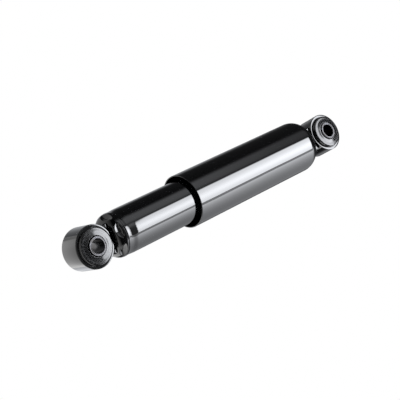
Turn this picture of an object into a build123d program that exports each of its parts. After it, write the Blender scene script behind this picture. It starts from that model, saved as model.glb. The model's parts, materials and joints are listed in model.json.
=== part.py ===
from build123d import *
import os
from math import cos, radians, sin, sqrt

# Telescopic hydraulic shock absorber with an eye at each end, in millimetres.
# The origin is the centre of the lower eye's bore, +Z runs along the damper to the upper eye,
# and the lower bore lies along Y. The damper is drawn part way through its stroke.

# Lengths that set the whole damper
closed_length = 385.0
stroke = 200.0
extension = 100.0
eye_distance = closed_length + extension

# Running and assembly clearances, each on the radius
running_gap = 0.05
slip_gap = 0.05
face_gap = 0.1

# Eyes: a steel ring, a bonded rubber bush and an inner sleeve, alike at both ends
bore_radius = 10.0
sleeve_wall = 3.5
sleeve_length = 50.0
sleeve_edge = 0.6
ring_radius = 30.0
ring_wall = 4.0
ring_width = 35.0
ring_edge = 1.2
upper_eye_turn = -11.0
rubber_shoulder = 2.1
rubber_rise = 5.6
rubber_side = 1.7
rubber_dip = 1.0
weld_root_gap = 0.3
eye_weld_start = 5.0
eye_weld_width = 19.0
eye_weld_length = 29.0
eye_weld_lean = 2.6
neck_height = 10.0
neck_reach = 17.5
sleeve_radius = bore_radius + sleeve_wall

# Reservoir tube and its pressed base cap
reservoir_radius = 32.5
reservoir_wall = 2.0
swage_depth = 0.6
swage_length = 11.0
swage_land = 3.0
base_wall = 3.0
base_corner = 14.0
base_rim = 4.2
seam_bevel = 1.2
seam_half_width = 2.0
seam_crown = 0.9
dent_count = 6
dent_turn = -50.0
dent_radius = 14.0
dent_depth = 3.0
dent_edge = 1.2
neck_radius = reservoir_radius - swage_depth
reservoir_bore = reservoir_radius - reservoir_wall
base_z = ring_radius + weld_root_gap
floor_z = base_z + base_wall
corner_r = neck_radius - base_corner
corner_z = base_z + base_corner
seam_z = corner_z + base_rim
dent_reach = base_corner + dent_radius - dent_depth
dent_r = corner_r + dent_reach * cos(radians(45))
dent_z = corner_z - dent_reach * sin(radians(45))
seat_radius = dent_r - sqrt((dent_radius + base_wall) ** 2 - (floor_z - dent_z) ** 2)

# Pressure tube
pressure_bore = 22.5
pressure_wall = 1.5
pressure_radius = pressure_bore + pressure_wall

# Foot valve, which stands on the base cap and carries the pressure tube
skirt_wall = 4.0
skirt_height = 9.0
skirt_window_width = 11.0
skirt_window_height = 5.0
foot_flange = 4.0
foot_spigot = 4.0
foot_boss_height = 2.9
foot_boss_radius = 6.8
disc_thickness = 0.8
valve_lift = 0.8
spring_thickness = 0.4
spring_inset = 1.5
foot_bolt_radius = 4.0
foot_bolt_head_radius = 7.0
foot_bolt_head_height = 4.0
foot_bolt_tip = 1.5
foot_bolt_head_edge = 1.0
foot_nut_flats = 13.0
foot_nut_height = 5.0
intake_port_circle = 13.7
intake_port_radius = 2.0
intake_port_count = 8
bleed_port_circle = 8.6
bleed_port_radius = 1.3
bleed_port_count = 6
intake_disc_bore = 10.4
intake_disc_radius = 17.0
foot_shim_radii = (10.6, 9.0, 7.4)
foot_shim_thickness = 0.4
valve_under_z = floor_z + skirt_height
tube_seat_z = valve_under_z + foot_flange
foot_top_z = tube_seat_z + foot_spigot
foot_boss_z = foot_top_z + foot_boss_height
foot_bolt_z = foot_boss_z + spring_thickness
foot_bolt_top_z = foot_bolt_z + foot_bolt_head_height
foot_nut_z = valve_under_z - foot_shim_thickness * len(foot_shim_radii)

# Piston rod and the pieces clamped on its lower end
rod_radius = 10.0
rod_spigot_radius = 7.0
rod_edge = 1.0
closed_gap = 3.4
rod_tip = 2.0
piston_nut_flats = 22.0
piston_nut_height = 10.0
backing_radius = 10.0
backing_thickness = 1.5
rebound_shim_radii = (14.6, 12.8, 11.2)
rebound_shim_thickness = 0.5
piston_height = 16.0
piston_gap = 0.35
piston_groove_depth = 1.55
piston_ring_height = 8.0
piston_ring_split = 0.8
piston_boss_radius = 9.6
piston_boss_height = 2.8
compression_port_circle = 17.6
compression_port_radius = 1.7
rebound_port_circle = 12.0
rebound_port_radius = 1.7
piston_port_count = 8
check_plate_bore = 15.0
check_plate_radius = 19.9
stop_radius = 16.0
stop_thickness = 3.0
bumper_radius = 15.5
bumper_height = 4.8
end_gap = 0.5
rod_end_z = foot_bolt_top_z + closed_gap + extension
piston_nut_z = rod_end_z + rod_tip
backing_z = piston_nut_z + piston_nut_height
rebound_shim_z = backing_z + backing_thickness
piston_z = rebound_shim_z + rebound_shim_thickness * len(rebound_shim_radii)
piston_top_z = piston_z + piston_height
piston_boss_z = piston_top_z + piston_boss_height
stop_z = piston_boss_z + spring_thickness
shoulder_z = stop_z + stop_thickness
bumper_top_z = shoulder_z + bumper_height

# Rod guide, seal and closing plate
guide_spigot = 7.0
guide_web = 9.0
guide_bush_wall = 1.5
guide_bush_length = 14.0
seal_radius = 24.0
seal_height = 11.0
seal_lip_wall = 2.2
seal_lip_height = 6.0
seal_cup_width = 3.4
garter_wire = 0.9
garter_height = 2.7
ring_seal_wire = 1.25
ring_seal_groove = 3.0
ring_seal_offset = 4.0
closing_thickness = 5.0
closing_gap = 0.8
roll_radius = 3.0
roll_bore = 26.0
guide_z = bumper_top_z + end_gap + stroke - extension
guide_seat_z = guide_z + guide_spigot
seal_seat_z = guide_seat_z + guide_web
closing_z = seal_seat_z + seal_height
closing_top_z = closing_z + closing_thickness
reservoir_top_z = closing_top_z + reservoir_wall

# Dust cover and the plate under its crown
cover_radius = 40.0
cover_wall = 1.5
cover_corner = 23.0
cover_length = 269.2
cover_lip_edge = 0.5
head_plate_thickness = 3.0
head_plate_inset = 1.0
head_plate_radius = 16.0
rod_top_z = eye_distance - ring_radius - weld_root_gap
cover_top_z = rod_top_z - neck_height
cover_lip_z = cover_top_z - cover_length
head_plate_z = cover_top_z - cover_wall - head_plate_thickness

os.makedirs("parts", exist_ok=True)

# The plane of each eye has its normal along the bore and its Y axis along the damper
turn = radians(upper_eye_turn)
lower_eye = Plane.XZ
upper_eye = Plane(origin=(0, 0, eye_distance), x_dir=(cos(turn), sin(turn), 0), z_dir=(sin(turn), -cos(turn), 0))

# Outer shapes that the eye welds lie against, without any wall thickness
with BuildPart() as base_form:
    with BuildSketch(Plane.XZ):
        with BuildLine():
            Line((0, seam_z), (0, base_z))
            Line((0, base_z), (corner_r, base_z))
            RadiusArc((corner_r, base_z), (neck_radius, corner_z), -base_corner)
            Line((neck_radius, corner_z), (neck_radius, seam_z))
            Line((neck_radius, seam_z), (0, seam_z))
        make_face()
    revolve(axis=Axis.Z)

with BuildPart() as crown_form:
    with BuildSketch(Plane.XZ):
        with BuildLine():
            Line((0, cover_lip_z), (cover_radius, cover_lip_z))
            Line((cover_radius, cover_lip_z), (cover_radius, cover_top_z - cover_corner))
            RadiusArc(
                (cover_radius, cover_top_z - cover_corner),
                (cover_radius - cover_corner, cover_top_z),
                -cover_corner,
            )
            Line((cover_radius - cover_corner, cover_top_z), (0, cover_top_z))
            Line((0, cover_top_z), (0, cover_lip_z))
        make_face()
    revolve(axis=Axis.Z)

# Eyes: the same four pieces at each end. The weld reaches from the ring towards the damper,
# which is above the lower eye and below the upper one. There it is built up round the rod's end,
# which stands out of the crown of the dust cover.
for end, eye, reach, body_form, weld_start, weld_height, weld_foot in (
    ("lower", lower_eye, 1, base_form, eye_weld_start, base_wall, eye_weld_width + eye_weld_lean),
    ("upper", upper_eye, -1, crown_form, 0, neck_height + cover_wall, neck_reach),
):
    bore_axis = Axis(eye.origin, eye.z_dir)
    bush_section = Plane(origin=eye.origin, x_dir=eye.x_dir, z_dir=-eye.y_dir)

    # Plain tube that the mounting pin passes through
    with BuildPart() as sleeve:
        with BuildSketch(eye):
            Circle(sleeve_radius)
            Circle(bore_radius, mode=Mode.SUBTRACT)
        extrude(amount=sleeve_length / 2, both=True)
        chamfer(sleeve.edges().filter_by(GeomType.CIRCLE), sleeve_edge)
    sleeve.part.label = f"{end}_sleeve"
    export_step(sleeve.part, f"parts/{end}_sleeve.step")

    # Short length of thick tube, with its edges rounded
    with BuildPart() as ring:
        with BuildSketch(eye):
            Circle(ring_radius)
            Circle(ring_radius - ring_wall, mode=Mode.SUBTRACT)
        extrude(amount=ring_width / 2, both=True)
        fillet(ring.edges().filter_by(GeomType.CIRCLE), ring_edge)
    ring.part.label = f"{end}_eye_ring"
    export_step(ring.part, f"parts/{end}_eye_ring.step")

    # Rubber moulded between ring and sleeve, swelling past the ring on both sides
    rubber_radius = ring_radius - ring_wall
    rubber_bore = sleeve_radius + running_gap
    rubber_waist = ring_width / 2 - ring_edge
    rubber_step = ring_width / 2 + rubber_shoulder
    rubber_top = ring_width / 2 + rubber_rise
    with BuildPart() as rubber:
        with BuildSketch(bush_section):
            with BuildLine():
                Line((rubber_bore, 0), (rubber_radius, 0))
                Line((rubber_radius, 0), (rubber_radius, rubber_waist))
                shoulder = Spline(
                    (rubber_radius, rubber_waist),
                    (rubber_radius - rubber_side, rubber_step),
                    ((rubber_radius + rubber_bore) / 2, (rubber_step + rubber_top) / 2 + rubber_dip / 2),
                    (rubber_bore + rubber_side, rubber_top),
                    tangents=[(-0.2, 1), (-1, -0.05)],
                )
                Line(shoulder @ 1, (rubber_bore, rubber_top - rubber_dip))
                Line((rubber_bore, rubber_top - rubber_dip), (rubber_bore, 0))
            make_face()
            mirror(about=Plane.XZ)
        revolve(axis=bore_axis)
    rubber.part.label = f"{end}_bush_rubber"
    export_step(rubber.part, f"parts/{end}_bush_rubber.step")

    # Fillet welds along the ring, on each side of its crown
    crown = reach * ring_radius
    weld_face = reach * sqrt(ring_radius ** 2 - eye_weld_width ** 2)
    with BuildPart() as eye_weld:
        with BuildSketch(eye):
            for side in (-1, 1):
                with BuildLine():
                    Polyline(
                        (side * weld_start, crown - reach * weld_root_gap),
                        (side * eye_weld_width, weld_face),
                        (side * weld_foot, crown + reach * weld_height),
                        (side * weld_start, crown + reach * weld_height),
                        close=True,
                    )
                make_face()
        extrude(amount=eye_weld_length / 2, both=True)
        with BuildSketch(eye):
            Circle(ring_radius)
        extrude(amount=ring_width / 2, both=True, mode=Mode.SUBTRACT)
        add(body_form.part, mode=Mode.SUBTRACT)
        if end == "upper":
            with BuildSketch(Plane.XY.offset(cover_top_z)):
                Circle(rod_radius)
            extrude(amount=rod_top_z - cover_top_z, mode=Mode.SUBTRACT)
    eye_weld.part.label = f"{end}_eye_weld"
    export_step(eye_weld.part, f"parts/{end}_eye_weld.step")

# Base cap: a pressed steel cup. Dents pressed into its corner centre the foot valve inside it.
with BuildPart() as base_cavity:
    with BuildSketch(Plane.XZ):
        with BuildLine():
            Line((0, seam_z), (0, floor_z))
            Line((0, floor_z), (corner_r, floor_z))
            RadiusArc((corner_r, floor_z), (neck_radius - base_wall, corner_z), base_wall - base_corner)
            Line((neck_radius - base_wall, corner_z), (neck_radius - base_wall, seam_z))
            Line((neck_radius - base_wall, seam_z), (0, seam_z))
        make_face()
    revolve(axis=Axis.Z)
    with Locations((0, 0, dent_z)):
        with PolarLocations(dent_r, dent_count, start_angle=dent_turn):
            Sphere(dent_radius + base_wall, mode=Mode.SUBTRACT)

with BuildPart() as base_cap:
    add(base_form.part)
    with Locations((0, 0, dent_z)):
        with PolarLocations(dent_r, dent_count, start_angle=dent_turn):
            Sphere(dent_radius, mode=Mode.SUBTRACT)
    dent_rims = base_cap.faces().filter_by(GeomType.SPHERE).edges()
    fillet(dent_rims, dent_edge)
    rim = base_cap.edges().filter_by(GeomType.CIRCLE).sort_by(Axis.Z)[-1]
    chamfer(rim, seam_bevel)
    add(base_cavity.part, mode=Mode.SUBTRACT)
base_cap.part.label = "base_cap"
export_step(base_cap.part, "parts/base_cap.step")

# Seam weld that joins the base cap to the reservoir tube
with BuildPart() as base_weld:
    with BuildSketch(Plane.XZ):
        with BuildLine():
            Polyline(
                (neck_radius, seam_z - seam_half_width),
                (neck_radius, seam_z - seam_bevel),
                (neck_radius - seam_bevel, seam_z),
                (neck_radius, seam_z + seam_bevel),
                (neck_radius, seam_z + seam_half_width),
            )
            ThreePointArc(
                (neck_radius, seam_z + seam_half_width),
                (neck_radius + seam_crown, seam_z),
                (neck_radius, seam_z - seam_half_width),
            )
        make_face()
    revolve(axis=Axis.Z)
base_weld.part.label = "base_weld"
export_step(base_weld.part, "parts/base_weld.step")

# Reservoir tube: swaged in a little above the seam, and rolled inwards over the closing plate
swage_z = seam_z + swage_land
with BuildPart() as reservoir_tube:
    with BuildSketch(Plane.XZ):
        with BuildLine():
            Line((neck_radius - reservoir_wall, seam_z), (neck_radius - seam_bevel, seam_z))
            Line((neck_radius - seam_bevel, seam_z), (neck_radius, seam_z + seam_bevel))
            Line((neck_radius, seam_z + seam_bevel), (neck_radius, swage_z))
            Spline(
                (neck_radius, swage_z),
                (reservoir_radius, swage_z + swage_length),
                tangents=[(0, 1), (0, 1)],
            )
            Line((reservoir_radius, swage_z + swage_length), (reservoir_radius, reservoir_top_z - roll_radius))
            RadiusArc(
                (reservoir_radius, reservoir_top_z - roll_radius),
                (reservoir_radius - roll_radius, reservoir_top_z),
                -roll_radius,
            )
            Line((reservoir_radius - roll_radius, reservoir_top_z), (roll_bore, reservoir_top_z))
            Line((roll_bore, reservoir_top_z), (roll_bore, closing_top_z))
            Line((roll_bore, closing_top_z), (reservoir_bore, closing_top_z))
            Line((reservoir_bore, closing_top_z), (reservoir_bore, swage_z + swage_length))
            Spline(
                (reservoir_bore, swage_z + swage_length),
                (neck_radius - reservoir_wall, swage_z),
                tangents=[(0, -1), (0, -1)],
            )
            Line((neck_radius - reservoir_wall, swage_z), (neck_radius - reservoir_wall, seam_z))
        make_face()
    revolve(axis=Axis.Z)
reservoir_tube.part.label = "reservoir_tube"
export_step(reservoir_tube.part, "parts/reservoir_tube.step")

# Pressure tube, in which the piston runs
with BuildPart() as pressure_tube:
    with BuildSketch(Plane.XY.offset(tube_seat_z)):
        Circle(pressure_radius)
        Circle(pressure_bore, mode=Mode.SUBTRACT)
    extrude(amount=guide_seat_z - tube_seat_z)
pressure_tube.part.label = "pressure_tube"
export_step(pressure_tube.part, "parts/pressure_tube.step")

# Foot valve body: skirt with oil windows, flange under the pressure tube, spigot inside it,
# an outer circle of intake ports and an inner circle of compression ports
skirt_radius = seat_radius - face_gap
with BuildPart() as foot_valve_body:
    with BuildSketch(Plane.XY.offset(floor_z)):
        Circle(skirt_radius)
        Circle(skirt_radius - skirt_wall, mode=Mode.SUBTRACT)
    extrude(amount=skirt_height)
    foot_edge = foot_valve_body.edges().filter_by(GeomType.CIRCLE).group_by(Axis.Z)[0].sort_by(SortBy.RADIUS)[-1]
    chamfer(foot_edge, skirt_radius - corner_r)
    for step in range(dent_count):
        window_turn = dent_turn + (step + 0.5) * 360 / dent_count
        window_plane = Plane(origin=(0, 0, floor_z), x_dir=(0, 0, 1), z_dir=Vector(1, 0, 0).rotate(Axis.Z, window_turn))
        with BuildSketch(window_plane):
            Rectangle(skirt_window_height, skirt_window_width, align=(Align.MIN, Align.CENTER))
        extrude(amount=skirt_radius + skirt_wall, mode=Mode.SUBTRACT)
    with BuildSketch(Plane.XY.offset(valve_under_z)):
        Circle(pressure_radius)
    extrude(amount=foot_flange)
    with BuildSketch(Plane.XY.offset(tube_seat_z)):
        Circle(pressure_bore)
    extrude(amount=foot_spigot)
    with BuildSketch(Plane.XY.offset(foot_top_z)):
        Circle(foot_boss_radius)
    extrude(amount=foot_boss_height)
    with BuildSketch(Plane.XY.offset(valve_under_z)):
        Circle(foot_bolt_radius + slip_gap)
        with PolarLocations(intake_port_circle, intake_port_count):
            Circle(intake_port_radius)
        with PolarLocations(bleed_port_circle, bleed_port_count):
            Circle(bleed_port_radius)
    extrude(amount=foot_boss_z - valve_under_z, mode=Mode.SUBTRACT)
foot_valve_body.part.label = "foot_valve_body"
export_step(foot_valve_body.part, "parts/foot_valve_body.step")

# Bolt through the foot valve, with its round head over the intake spring
with BuildPart() as foot_valve_bolt:
    with BuildSketch(Plane.XY.offset(foot_nut_z - foot_nut_height - foot_bolt_tip)):
        Circle(foot_bolt_radius)
    extrude(amount=foot_bolt_z - foot_nut_z + foot_nut_height + foot_bolt_tip)
    with BuildSketch(Plane.XY.offset(foot_bolt_z)):
        Circle(foot_bolt_head_radius)
    extrude(amount=foot_bolt_head_height)
    head_edge = foot_valve_bolt.edges().filter_by(GeomType.CIRCLE).sort_by(Axis.Z)[-1]
    chamfer(head_edge, foot_bolt_head_edge)
foot_valve_bolt.part.label = "foot_valve_bolt"
export_step(foot_valve_bolt.part, "parts/foot_valve_bolt.step")

with BuildPart() as foot_valve_nut:
    with BuildSketch(Plane.XY.offset(foot_nut_z - foot_nut_height)):
        RegularPolygon(foot_nut_flats / 2, 6, major_radius=False)
        Circle(foot_bolt_radius + slip_gap, mode=Mode.SUBTRACT)
    extrude(amount=foot_nut_height)
foot_valve_nut.part.label = "foot_valve_nut"
export_step(foot_valve_nut.part, "parts/foot_valve_nut.step")

# Stack of spring steel discs under the compression ports
with BuildPart() as compression_shims:
    for step, shim_radius in enumerate(foot_shim_radii):
        with BuildSketch(Plane.XY.offset(valve_under_z - step * foot_shim_thickness)):
            Circle(shim_radius)
            Circle(foot_bolt_radius + slip_gap, mode=Mode.SUBTRACT)
        extrude(amount=-foot_shim_thickness)
compression_shims.part.label = "compression_shims"
export_step(compression_shims.part, "parts/compression_shims.step")

# Disc that lifts off the intake ports when the damper extends
with BuildPart() as intake_disc:
    with BuildSketch(Plane.XY.offset(foot_top_z)):
        Circle(intake_disc_radius)
        Circle(intake_disc_bore, mode=Mode.SUBTRACT)
    extrude(amount=disc_thickness)
intake_disc.part.label = "intake_disc"
export_step(intake_disc.part, "parts/intake_disc.step")

# Disc that lifts off the piston's compression ports when the damper closes
with BuildPart() as check_plate:
    with BuildSketch(Plane.XY.offset(piston_top_z)):
        Circle(check_plate_radius)
        Circle(check_plate_bore, mode=Mode.SUBTRACT)
    extrude(amount=disc_thickness)
check_plate.part.label = "check_plate"
export_step(check_plate.part, "parts/check_plate.step")

# Star springs that hold the two discs down: a clamped hub with three arms that slope to the disc
star_arm_width = 6.0
star_arm_count = 3
for name, hub_bore, hub_radius, hub_z, disc_top_z, tip_radius in (
    (
        "intake_spring",
        foot_bolt_radius + slip_gap,
        foot_boss_radius,
        foot_boss_z,
        foot_top_z + disc_thickness,
        intake_disc_radius - spring_inset,
    ),
    (
        "check_spring",
        rod_spigot_radius + slip_gap,
        piston_boss_radius,
        piston_boss_z,
        piston_top_z + disc_thickness,
        check_plate_radius - spring_inset,
    ),
):
    tip_z = disc_top_z + face_gap
    with BuildPart() as star_spring:
        with BuildSketch(Plane.XZ):
            with BuildLine():
                Polyline(
                    (hub_bore, hub_z),
                    (hub_radius, hub_z),
                    (tip_radius, tip_z),
                    (tip_radius, tip_z + spring_thickness),
                    (hub_radius, hub_z + spring_thickness),
                    (hub_bore, hub_z + spring_thickness),
                    close=True,
                )
            make_face()
        revolve(axis=Axis.Z)
        with BuildSketch(Plane.XY.offset(tip_z)):
            Circle(hub_radius)
            with PolarLocations(0, star_arm_count):
                Rectangle(tip_radius, star_arm_width, align=(Align.MIN, Align.CENTER))
        extrude(amount=hub_z + spring_thickness - tip_z, mode=Mode.INTERSECT)
    star_spring.part.label = name
    export_step(star_spring.part, f"parts/{name}.step")

# Chromed piston rod, stepped down at its lower end for the piston
with BuildPart() as piston_rod:
    with BuildSketch(Plane.XY.offset(rod_end_z)):
        Circle(rod_spigot_radius)
    extrude(amount=shoulder_z - rod_end_z)
    with BuildSketch(Plane.XY.offset(shoulder_z)):
        Circle(rod_radius)
    extrude(amount=rod_top_z - shoulder_z)
    tip_edge = piston_rod.edges().filter_by(GeomType.CIRCLE).sort_by(Axis.Z)[0]
    chamfer(tip_edge, rod_edge)
piston_rod.part.label = "piston_rod"
export_step(piston_rod.part, "parts/piston_rod.step")

with BuildPart() as piston_nut:
    with BuildSketch(Plane.XY.offset(piston_nut_z)):
        RegularPolygon(piston_nut_flats / 2, 6, major_radius=False)
        Circle(rod_spigot_radius + slip_gap, mode=Mode.SUBTRACT)
    extrude(amount=piston_nut_height)
piston_nut.part.label = "piston_nut"
export_step(piston_nut.part, "parts/piston_nut.step")

with BuildPart() as backing_washer:
    with BuildSketch(Plane.XY.offset(backing_z)):
        Circle(backing_radius)
        Circle(rod_spigot_radius + slip_gap, mode=Mode.SUBTRACT)
    extrude(amount=backing_thickness)
backing_washer.part.label = "backing_washer"
export_step(backing_washer.part, "parts/backing_washer.step")

# Stack of spring steel discs under the rebound ports, the widest against the piston
with BuildPart() as rebound_shims:
    for step, shim_radius in enumerate(rebound_shim_radii):
        with BuildSketch(Plane.XY.offset(piston_z - step * rebound_shim_thickness)):
            Circle(shim_radius)
            Circle(rod_spigot_radius + slip_gap, mode=Mode.SUBTRACT)
        extrude(amount=-rebound_shim_thickness)
rebound_shims.part.label = "rebound_shims"
export_step(rebound_shims.part, "parts/rebound_shims.step")

# Sintered piston with a groove for its ring and two circles of ports
piston_radius = pressure_bore - piston_gap
groove_radius = piston_radius - piston_groove_depth
groove_height = piston_ring_height + 2 * face_gap
groove_z = piston_z + (piston_height - groove_height) / 2
with BuildPart() as piston:
    with BuildSketch(Plane.XY.offset(piston_z)):
        Circle(piston_radius)
    extrude(amount=piston_height)
    with BuildSketch(Plane.XY.offset(piston_top_z)):
        Circle(piston_boss_radius)
    extrude(amount=piston_boss_height)
    with BuildSketch(Plane.XY.offset(groove_z)):
        Circle(pressure_radius)
        Circle(groove_radius, mode=Mode.SUBTRACT)
    extrude(amount=groove_height, mode=Mode.SUBTRACT)
    with BuildSketch(Plane.XY.offset(piston_z)):
        Circle(rod_spigot_radius + slip_gap)
        with PolarLocations(compression_port_circle, piston_port_count):
            Circle(compression_port_radius)
        with PolarLocations(rebound_port_circle, piston_port_count, start_angle=180 / piston_port_count):
            Circle(rebound_port_radius)
    extrude(amount=piston_boss_z - piston_z, mode=Mode.SUBTRACT)
piston.part.label = "piston"
export_step(piston.part, "parts/piston.step")

# Split plastic band that seals the piston in its tube
with BuildPart() as piston_ring:
    with BuildSketch(Plane.XY.offset(groove_z + face_gap)):
        Circle(pressure_bore - running_gap)
        Circle(groove_radius + face_gap, mode=Mode.SUBTRACT)
        Rectangle(pressure_radius, piston_ring_split, align=(Align.MIN, Align.CENTER), mode=Mode.SUBTRACT)
    extrude(amount=piston_ring_height)
piston_ring.part.label = "piston_ring"
export_step(piston_ring.part, "parts/piston_ring.step")

# Washer that the rod's shoulder bears on, and the bumper that meets the guide at full extension
with BuildPart() as stop_washer:
    with BuildSketch(Plane.XY.offset(stop_z)):
        Circle(stop_radius)
        Circle(rod_spigot_radius + slip_gap, mode=Mode.SUBTRACT)
    extrude(amount=stop_thickness)
stop_washer.part.label = "stop_washer"
export_step(stop_washer.part, "parts/stop_washer.step")

with BuildPart() as rebound_bumper:
    with BuildSketch(Plane.XY.offset(shoulder_z)):
        Circle(bumper_radius)
        Circle(rod_radius, mode=Mode.SUBTRACT)
    extrude(amount=bumper_height)
    bumper_edge = rebound_bumper.edges().group_by(Axis.Z)[-1].sort_by(SortBy.RADIUS)[-1]
    fillet(bumper_edge, bumper_height / 3)
rebound_bumper.part.label = "rebound_bumper"
export_step(rebound_bumper.part, "parts/rebound_bumper.step")

# Sintered rod guide: spigot in the pressure tube, rim in the reservoir tube, cup for the seal
bush_radius = rod_radius + running_gap + guide_bush_wall
ring_seal_z = guide_seat_z + ring_seal_offset
with BuildPart() as rod_guide:
    with BuildSketch(Plane.XY.offset(guide_z)):
        Circle(pressure_bore)
    extrude(amount=guide_spigot)
    with BuildSketch(Plane.XY.offset(guide_seat_z)):
        Circle(reservoir_bore)
    extrude(amount=guide_web + seal_height)
    with BuildSketch(Plane.XY.offset(seal_seat_z)):
        Circle(seal_radius)
    extrude(amount=seal_height, mode=Mode.SUBTRACT)
    with BuildSketch(Plane.XY.offset(guide_z)):
        Circle(bush_radius)
    extrude(amount=guide_spigot + guide_web, mode=Mode.SUBTRACT)
    with BuildSketch(Plane.XY.offset(ring_seal_z - ring_seal_groove / 2)):
        Circle(reservoir_radius)
        Circle(reservoir_bore - 2 * ring_seal_wire - face_gap, mode=Mode.SUBTRACT)
    extrude(amount=ring_seal_groove, mode=Mode.SUBTRACT)
rod_guide.part.label = "rod_guide"
export_step(rod_guide.part, "parts/rod_guide.step")

with BuildPart() as guide_bush:
    with BuildSketch(Plane.XY.offset(seal_seat_z - guide_bush_length)):
        Circle(bush_radius)
        Circle(rod_radius + running_gap, mode=Mode.SUBTRACT)
    extrude(amount=guide_bush_length)
guide_bush.part.label = "guide_bush"
export_step(guide_bush.part, "parts/guide_bush.step")

with BuildPart() as guide_o_ring:
    with Locations((0, 0, ring_seal_z)):
        Torus(reservoir_bore - ring_seal_wire - face_gap / 2, ring_seal_wire)
guide_o_ring.part.label = "guide_o_ring"
export_step(guide_o_ring.part, "parts/guide_o_ring.step")

# Rubber rod seal with a lip round the rod and a cup behind it for the garter spring
lip_radius = rod_radius + running_gap + seal_lip_wall
with BuildPart() as rod_seal:
    with BuildSketch(Plane.XZ):
        with BuildLine():
            Polyline(
                (rod_radius + running_gap, seal_seat_z + garter_wire),
                (lip_radius, seal_seat_z + garter_wire),
                (lip_radius, seal_seat_z + seal_lip_height),
                (lip_radius + seal_cup_width, seal_seat_z + seal_lip_height),
                (lip_radius + seal_cup_width, seal_seat_z),
                (seal_radius, seal_seat_z),
                (seal_radius, closing_z),
                (lip_radius, closing_z),
                (rod_radius + running_gap, closing_z - seal_lip_wall),
                close=True,
            )
        make_face()
    revolve(axis=Axis.Z)
rod_seal.part.label = "rod_seal"
export_step(rod_seal.part, "parts/rod_seal.step")

with BuildPart() as seal_garter_spring:
    with Locations((0, 0, seal_seat_z + garter_height)):
        Torus(lip_radius + garter_wire + slip_gap, garter_wire)
seal_garter_spring.part.label = "seal_garter_spring"
export_step(seal_garter_spring.part, "parts/seal_garter_spring.step")

# Plate that holds the seal down, under the rolled edge of the reservoir tube
with BuildPart() as closing_plate:
    with BuildSketch(Plane.XY.offset(closing_z)):
        Circle(reservoir_bore)
        Circle(rod_radius + closing_gap, mode=Mode.SUBTRACT)
    extrude(amount=closing_thickness)
closing_plate.part.label = "closing_plate"
export_step(closing_plate.part, "parts/closing_plate.step")

# Dust cover: a drawn tube with a domed, pierced end
with BuildPart() as dust_cover:
    add(crown_form.part)
    offset(amount=-cover_wall, openings=dust_cover.faces().sort_by(Axis.Z)[0])
    lip_edges = dust_cover.edges().filter_by(GeomType.CIRCLE).group_by(Axis.Z)[0]
    chamfer(lip_edges, cover_lip_edge)
    with BuildSketch(Plane.XY.offset(cover_top_z)):
        Circle(rod_radius + slip_gap)
    extrude(amount=-head_plate_thickness, mode=Mode.SUBTRACT)
dust_cover.part.label = "dust_cover"
export_step(dust_cover.part, "parts/dust_cover.step")

# Thick disc welded on the rod under the crown of the cover
with BuildPart() as head_plate:
    with BuildSketch(Plane.XY.offset(head_plate_z)):
        Circle(head_plate_radius)
        Circle(rod_radius + slip_gap, mode=Mode.SUBTRACT)
    extrude(amount=head_plate_thickness)
    chamfer(head_plate.edges().group_by(Axis.Z)[0].sort_by(SortBy.RADIUS)[-1], head_plate_inset)
head_plate.part.label = "head_plate"
export_step(head_plate.part, "parts/head_plate.step")
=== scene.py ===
import json

import bmesh
import bpy
import numpy as np
from mathutils import Matrix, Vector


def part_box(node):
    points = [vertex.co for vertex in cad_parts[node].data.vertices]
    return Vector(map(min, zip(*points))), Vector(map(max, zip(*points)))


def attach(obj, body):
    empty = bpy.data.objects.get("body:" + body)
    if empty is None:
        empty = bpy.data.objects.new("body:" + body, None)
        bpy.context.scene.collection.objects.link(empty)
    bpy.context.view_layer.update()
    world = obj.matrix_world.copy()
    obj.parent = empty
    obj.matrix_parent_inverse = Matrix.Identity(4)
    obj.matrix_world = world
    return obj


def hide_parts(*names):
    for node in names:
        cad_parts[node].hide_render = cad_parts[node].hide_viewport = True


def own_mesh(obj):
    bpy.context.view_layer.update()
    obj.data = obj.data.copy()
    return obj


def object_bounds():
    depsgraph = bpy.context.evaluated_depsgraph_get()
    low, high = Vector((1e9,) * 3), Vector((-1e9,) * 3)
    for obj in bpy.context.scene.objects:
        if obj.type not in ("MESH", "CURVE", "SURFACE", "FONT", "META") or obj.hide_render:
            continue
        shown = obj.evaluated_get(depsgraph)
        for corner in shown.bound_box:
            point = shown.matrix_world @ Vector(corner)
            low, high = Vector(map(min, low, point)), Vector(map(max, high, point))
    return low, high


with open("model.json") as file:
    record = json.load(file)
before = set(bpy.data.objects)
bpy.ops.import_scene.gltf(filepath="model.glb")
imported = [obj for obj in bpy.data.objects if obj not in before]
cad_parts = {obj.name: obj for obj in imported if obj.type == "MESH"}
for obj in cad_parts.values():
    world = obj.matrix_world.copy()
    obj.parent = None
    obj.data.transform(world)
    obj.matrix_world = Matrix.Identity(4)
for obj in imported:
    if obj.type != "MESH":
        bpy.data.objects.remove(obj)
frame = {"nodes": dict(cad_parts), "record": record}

cad_low, cad_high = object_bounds()

# Pin sleeves: short lengths of thick steel tube that the mounting pins pass through. They are
# turned, with rounded edges and fine radial teeth rolled into both end faces so that the bracket
# grips them. The other parts of an eye are built round their axes.
mm = 0.001
full_turn = 2 * np.pi
sleeve_edge = 0.6 * mm
sleeve_spacing = 0.6 * mm
tooth_count = 44
tooth_depth = 0.12 * mm
tooth_reach = 0.9 * mm
tooth_flank = 1.3
columns_per_tooth = 8
sleeve_colour = (0.085, 0.085, 0.09, 1)


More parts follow.
